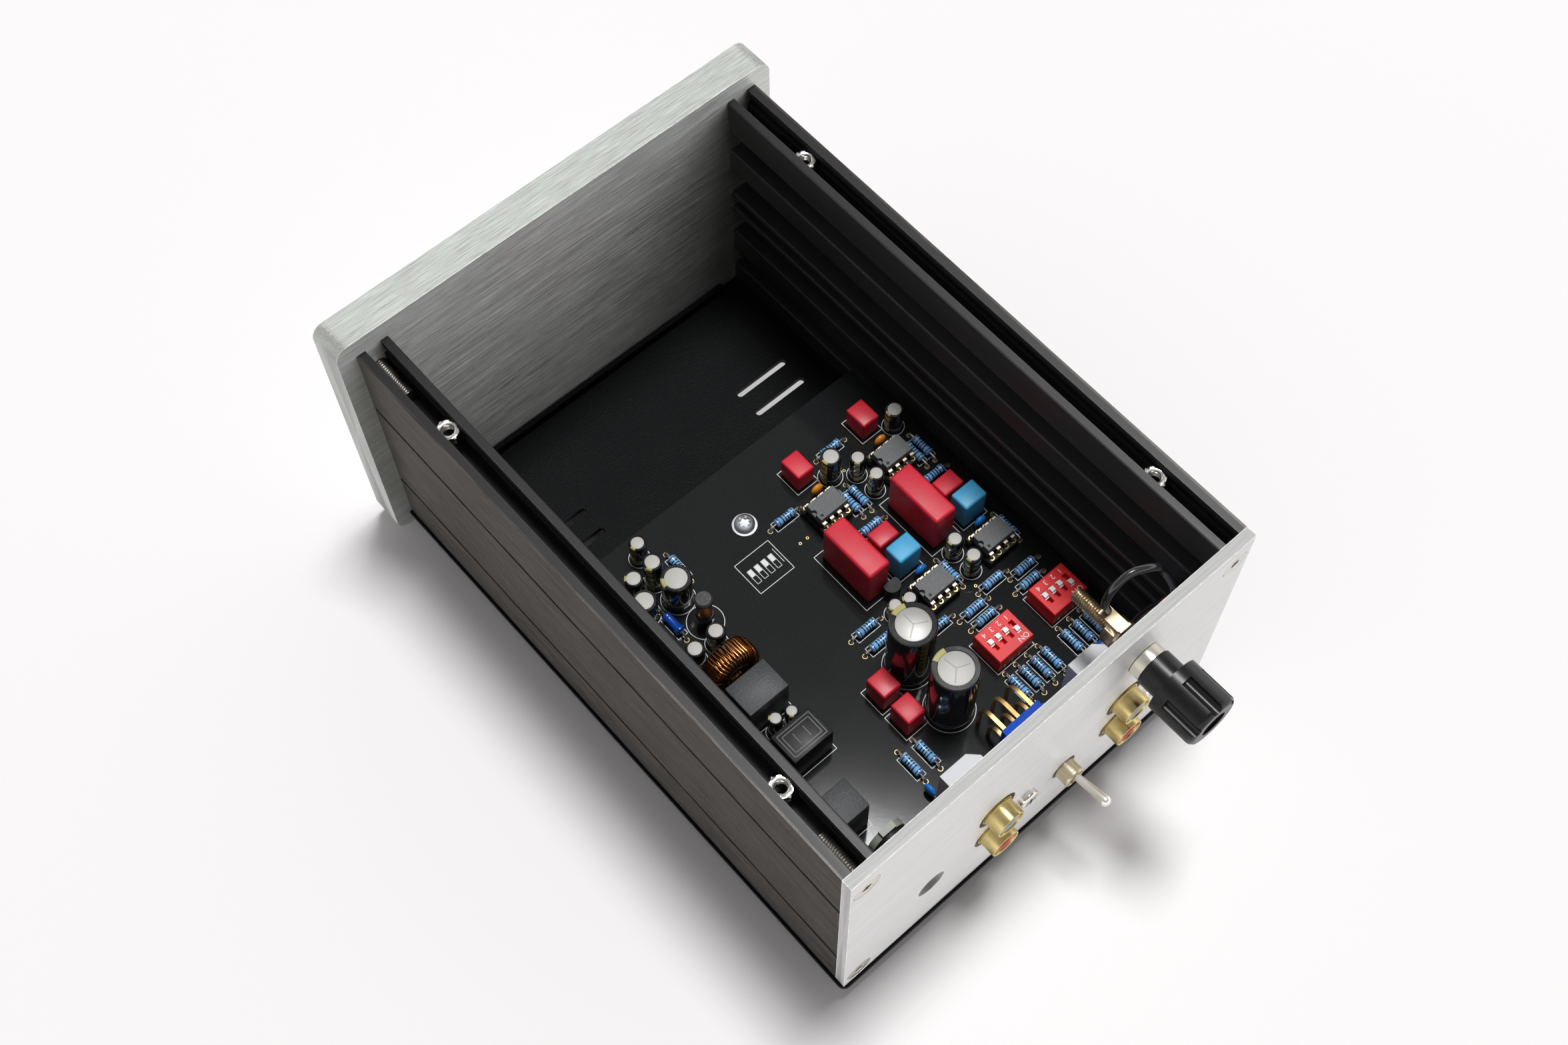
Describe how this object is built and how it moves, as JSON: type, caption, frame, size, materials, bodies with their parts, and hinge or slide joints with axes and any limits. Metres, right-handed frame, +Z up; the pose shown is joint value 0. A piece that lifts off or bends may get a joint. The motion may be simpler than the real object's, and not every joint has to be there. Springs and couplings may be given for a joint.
{
  "type": "phono preamp",
  "caption": "Small phono preamplifier in an open aluminium case, with a populated board, signal and power sockets, a toggle switch and a ground post on the rear panel.",
  "frame": {"origin": "under the middle of the part, on the surface it stands on", "axes": "+Z up, +Y towards the rear panel, +X to the right seen from the front"},
  "size_m": [0.134, 0.205, 0.0911],
  "materials": {
    "brushed_panel": "brushed along its length, clear anodised",
    "black_profile": "satin black anodised, brushed outer face",
    "black_plate": "black textured powder coat",
    "foot_rubber": "matt black rubber",
    "steel_screw": "nickel plated",
    "board_black": "gloss black solder mask with white legend",
    "cap_sleeve": "glossy black sleeve with a bare aluminium top",
    "film_red": "satin red moulded box",
    "film_blue": "satin blue moulded box",
    "resistor_blue": "glossy light blue lacquer with dark bands",
    "ceramic_dip": "glossy dipped ceramic",
    "black_plastic": "satin black moulding",
    "chip_black": "matt black moulding",
    "switch_red": "glossy red moulding",
    "slider_white": "white moulding",
    "socket_white": "white moulding",
    "socket_red": "red moulding",
    "gold_plate": "gold plated",
    "copper_winding": "enamelled copper wire",
    "ferrite": "dark grey ferrite",
    "switch_blue": "blue moulding",
    "terminal_blue": "blue moulding",
    "bracket_grey": "grey green moulding",
    "nickel": "nickel plated brass",
    "wire_black": "black flexible insulation"
  },
  "bodies": {
    "case": {"front_panel": "brushed_panel", "rear_panel": "brushed_panel", "side_profile_left": "black_profile", "side_profile_right": "black_profile", "bottom_plate": "black_plate", "rubber_feet": "foot_rubber", "front_panel_screws": "steel_screw", "rear_panel_screws": "steel_screw", "plate_screws": "steel_screw", "circuit_board": "board_black", "board_standoffs": "nickel", "board_screws": "steel_screw", "film_capacitors_large": "film_red", "film_capacitors_red": "film_red", "film_capacitors_blue": "film_blue", "reservoir_capacitors": "cap_sleeve", "electrolytic_capacitors": "cap_sleeve", "resistors": "resistor_blue", "ceramic_capacitors": "ceramic_dip", "transistor": "chip_black", "chips": "chip_black", "chip_sockets": "black_plastic", "dip_switch_bodies": "switch_red", "line_chokes": "black_plastic", "converter_module": "black_plastic", "drum_inductor_core": "ferrite", "drum_inductor_winding": "copper_winding", "toroid_winding": "copper_winding", "toroid_core": "ferrite", "signal_socket_housings": "socket_white", "signal_socket_barrels": "gold_plate", "signal_inserts_white": "socket_white", "signal_inserts_red": "socket_red", "signal_socket_screws": "steel_screw", "power_socket": "black_plastic", "power_socket_bracket": "bracket_grey", "toggle_body": "switch_blue", "toggle_base": "socket_white", "toggle_bushing": "nickel", "toggle_terminals": "gold_plate", "ground_post": "nickel", "ground_nuts": "nickel", "ground_tag": "nickel", "ground_terminal": "terminal_blue", "ground_wire": "wire_black"},
    "toggle_lever": {"toggle_lever": "nickel"},
    "ground_sleeve": {"ground_sleeve": "nickel"},
    "ground_knob": {"ground_knob": "black_plastic"},
    "dip_slider_a1": {"dip_slider_a1": "slider_white"},
    "dip_slider_a2": {"dip_slider_a2": "slider_white"},
    "dip_slider_a3": {"dip_slider_a3": "slider_white"},
    "dip_slider_a4": {"dip_slider_a4": "slider_white"},
    "dip_slider_b1": {"dip_slider_b1": "slider_white"},
    "dip_slider_b2": {"dip_slider_b2": "slider_white"},
    "dip_slider_b3": {"dip_slider_b3": "slider_white"},
    "dip_slider_b4": {"dip_slider_b4": "slider_white"},
    "slot_nut_left_front": {"slot_nut_left_front": "steel_screw"},
    "slot_nut_left_rear": {"slot_nut_left_rear": "steel_screw"},
    "slot_nut_right_front": {"slot_nut_right_front": "steel_screw"},
    "slot_nut_right_rear": {"slot_nut_right_rear": "steel_screw"}
  },
  "joints": [
    {"name": "toggle_throw", "type": "hinge", "parent": "case", "child": "toggle_lever", "pos_m": [-0.0089, 0.078, 0.0318], "axis": [1, 0, 0], "range_deg": [-27, 0]},
    {"name": "dip_a1_travel", "type": "slide", "parent": "case", "child": "dip_slider_a1", "axis": [0, 1, 0], "range_m": [-0.0016, 0]},
    {"name": "dip_a2_travel", "type": "slide", "parent": "case", "child": "dip_slider_a2", "axis": [0, 1, 0], "range_m": [0, 0.0016]},
    {"name": "dip_a3_travel", "type": "slide", "parent": "case", "child": "dip_slider_a3", "axis": [0, 1, 0], "range_m": [0, 0.0016]},
    {"name": "dip_a4_travel", "type": "slide", "parent": "case", "child": "dip_slider_a4", "axis": [0, 1, 0], "range_m": [0, 0.0016]},
    {"name": "dip_b1_travel", "type": "slide", "parent": "case", "child": "dip_slider_b1", "axis": [0, 1, 0], "range_m": [-0.0016, 0]},
    {"name": "dip_b2_travel", "type": "slide", "parent": "case", "child": "dip_slider_b2", "axis": [0, 1, 0], "range_m": [0, 0.0016]},
    {"name": "dip_b3_travel", "type": "slide", "parent": "case", "child": "dip_slider_b3", "axis": [0, 1, 0], "range_m": [0, 0.0016]},
    {"name": "dip_b4_travel", "type": "slide", "parent": "case", "child": "dip_slider_b4", "axis": [0, 1, 0], "range_m": [0, 0.0016]},
    {"name": "slot_nut_left_front_travel", "type": "slide", "parent": "case", "child": "slot_nut_left_front", "axis": [0, 1, 0], "range_m": [-0.0212, 0.0563]},
    {"name": "slot_nut_left_rear_travel", "type": "slide", "parent": "case", "child": "slot_nut_left_rear", "axis": [0, 1, 0], "range_m": [-0.0574, 0.0201]},
    {"name": "slot_nut_right_front_travel", "type": "slide", "parent": "case", "child": "slot_nut_right_front", "axis": [0, 1, 0], "range_m": [-0.025, 0.0525]},
    {"name": "slot_nut_right_rear_travel", "type": "slide", "parent": "case", "child": "slot_nut_right_rear", "axis": [0, 1, 0], "range_m": [-0.0566, 0.0209]},
    {"name": "ground_sleeve_travel", "type": "slide", "parent": "case", "child": "ground_sleeve", "axis": [0, 1, 0], "range_m": [0, 0.0021]},
    {"name": "ground_knob_turn", "type": "hinge", "parent": "ground_sleeve", "child": "ground_knob", "pos_m": [-0.0287, 0.09, 0.0677], "axis": [0, 1, 0], "range_deg": [0, 1080]}
  ],
  "couplings": [
    {"joint": "ground_knob_turn", "follows": "ground_sleeve_travel", "rad_per_m": 8975}
  ]
}
